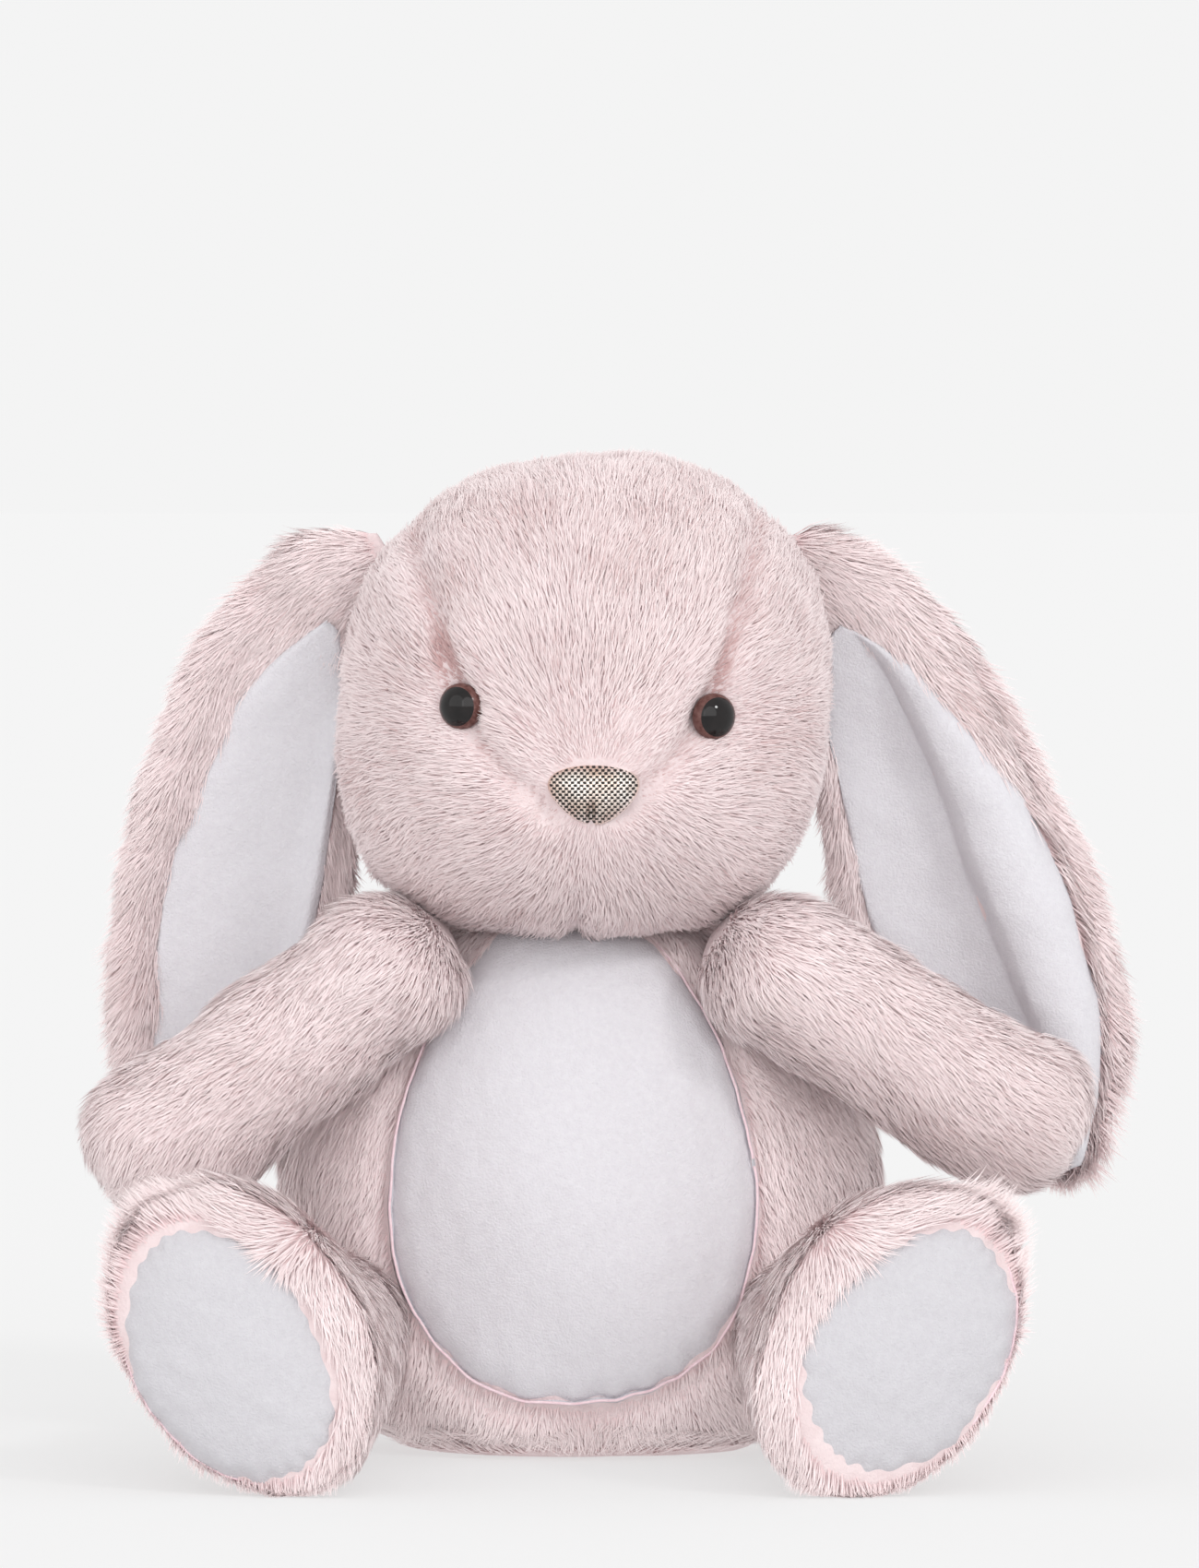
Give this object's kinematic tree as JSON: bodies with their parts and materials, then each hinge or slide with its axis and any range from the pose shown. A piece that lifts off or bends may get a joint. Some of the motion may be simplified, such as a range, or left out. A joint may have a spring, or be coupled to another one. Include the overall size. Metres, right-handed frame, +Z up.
{
  "type": "stuffed bunny rabbit",
  "caption": "Sitting lop-eared plush rabbit with long lined ears, round tummy panel and splayed feet with sole pads; head, ears, arms and legs move at their seams.",
  "frame": {"origin": "centre of the flat seat under the body, on the surface that the toy sits on", "axes": "+Z up, -Y the way the face looks, +X to the right as seen from the front; left and right in names are as seen from the front"},
  "size_m": [0.248, 0.1855, 0.2378],
  "materials": {
    "pink_plush": "pale dusty pink long-pile plush, brushed, matte",
    "white_velour": "white short-pile velour, soft sheen",
    "stuffing": "white polyester fibre fill",
    "pellet_bag": "cotton pouch of plastic pellets",
    "nose_mesh": "silver-gold metallic mesh over dark cloth",
    "eye_gloss": "glossy black with a dusty pink-brown ring",
    "washer_plastic": "white moulded plastic"
  },
  "bodies": {
    "torso": {"body_back_panel_left": "pink_plush", "body_back_panel_right": "pink_plush", "body_side_panel_left": "pink_plush", "body_side_panel_right": "pink_plush", "body_stuffing": "stuffing", "seat_bean_bag": "pellet_bag", "seat_panel": "pink_plush", "tail_cover": "pink_plush", "tail_stuffing": "stuffing", "tummy_panel": "white_velour"},
    "head": {"eye_left": "eye_gloss", "eye_right": "eye_gloss", "eye_washer_left": "washer_plastic", "eye_washer_right": "washer_plastic", "head_back_panel_left": "pink_plush", "head_back_panel_right": "pink_plush", "head_face_panel_left": "pink_plush", "head_face_panel_right": "pink_plush", "head_forehead_gusset": "pink_plush", "head_stuffing": "stuffing", "nose_cover": "nose_mesh", "nose_padding": "stuffing"},
    "ear_left": {"ear_back_left": "pink_plush", "ear_lining_left": "white_velour"},
    "ear_right": {"ear_back_right": "pink_plush", "ear_lining_right": "white_velour"},
    "arm_left": {"arm_back_panel_left": "pink_plush", "arm_front_panel_left": "pink_plush", "arm_stuffing_left": "stuffing"},
    "arm_right": {"arm_back_panel_right": "pink_plush", "arm_front_panel_right": "pink_plush", "arm_stuffing_right": "stuffing"},
    "leg_left": {"foot_pad_left": "white_velour", "leg_inner_panel_left": "pink_plush", "leg_outer_panel_left": "pink_plush", "leg_stuffing_left": "stuffing"},
    "leg_right": {"foot_pad_right": "white_velour", "leg_inner_panel_right": "pink_plush", "leg_outer_panel_right": "pink_plush", "leg_stuffing_right": "stuffing"}
  },
  "joints": [
    {"name": "head_nod", "type": "hinge", "parent": "torso", "child": "head", "pos_m": [0, -0.006, 0.128], "axis": [1, 0, 0], "range_deg": [-6, 8]},
    {"name": "ear_left_lift", "type": "hinge", "parent": "head", "child": "ear_left", "pos_m": [-0.046, 0.001, 0.212], "axis": [0, 1, 0], "range_deg": [0, 45]},
    {"name": "ear_right_lift", "type": "hinge", "parent": "head", "child": "ear_right", "pos_m": [0.046, 0.001, 0.212], "axis": [0, -1, 0], "range_deg": [0, 45]},
    {"name": "arm_left_lift", "type": "hinge", "parent": "torso", "child": "arm_left", "pos_m": [-0.048, -0.034, 0.119], "axis": [0, 1, 0], "range_deg": [0, 40]},
    {"name": "arm_right_lift", "type": "hinge", "parent": "torso", "child": "arm_right", "pos_m": [0.048, -0.034, 0.119], "axis": [0, -1, 0], "range_deg": [0, 40]},
    {"name": "leg_left_lift", "type": "hinge", "parent": "torso", "child": "leg_left", "pos_m": [-0.066, -0.03, 0.029], "axis": [-0.9848, 0.1736, 0], "range_deg": [0, 20]},
    {"name": "leg_right_lift", "type": "hinge", "parent": "torso", "child": "leg_right", "pos_m": [0.061, -0.03, 0.029], "axis": [-0.9877, -0.1564, 0], "range_deg": [0, 20]}
  ]
}
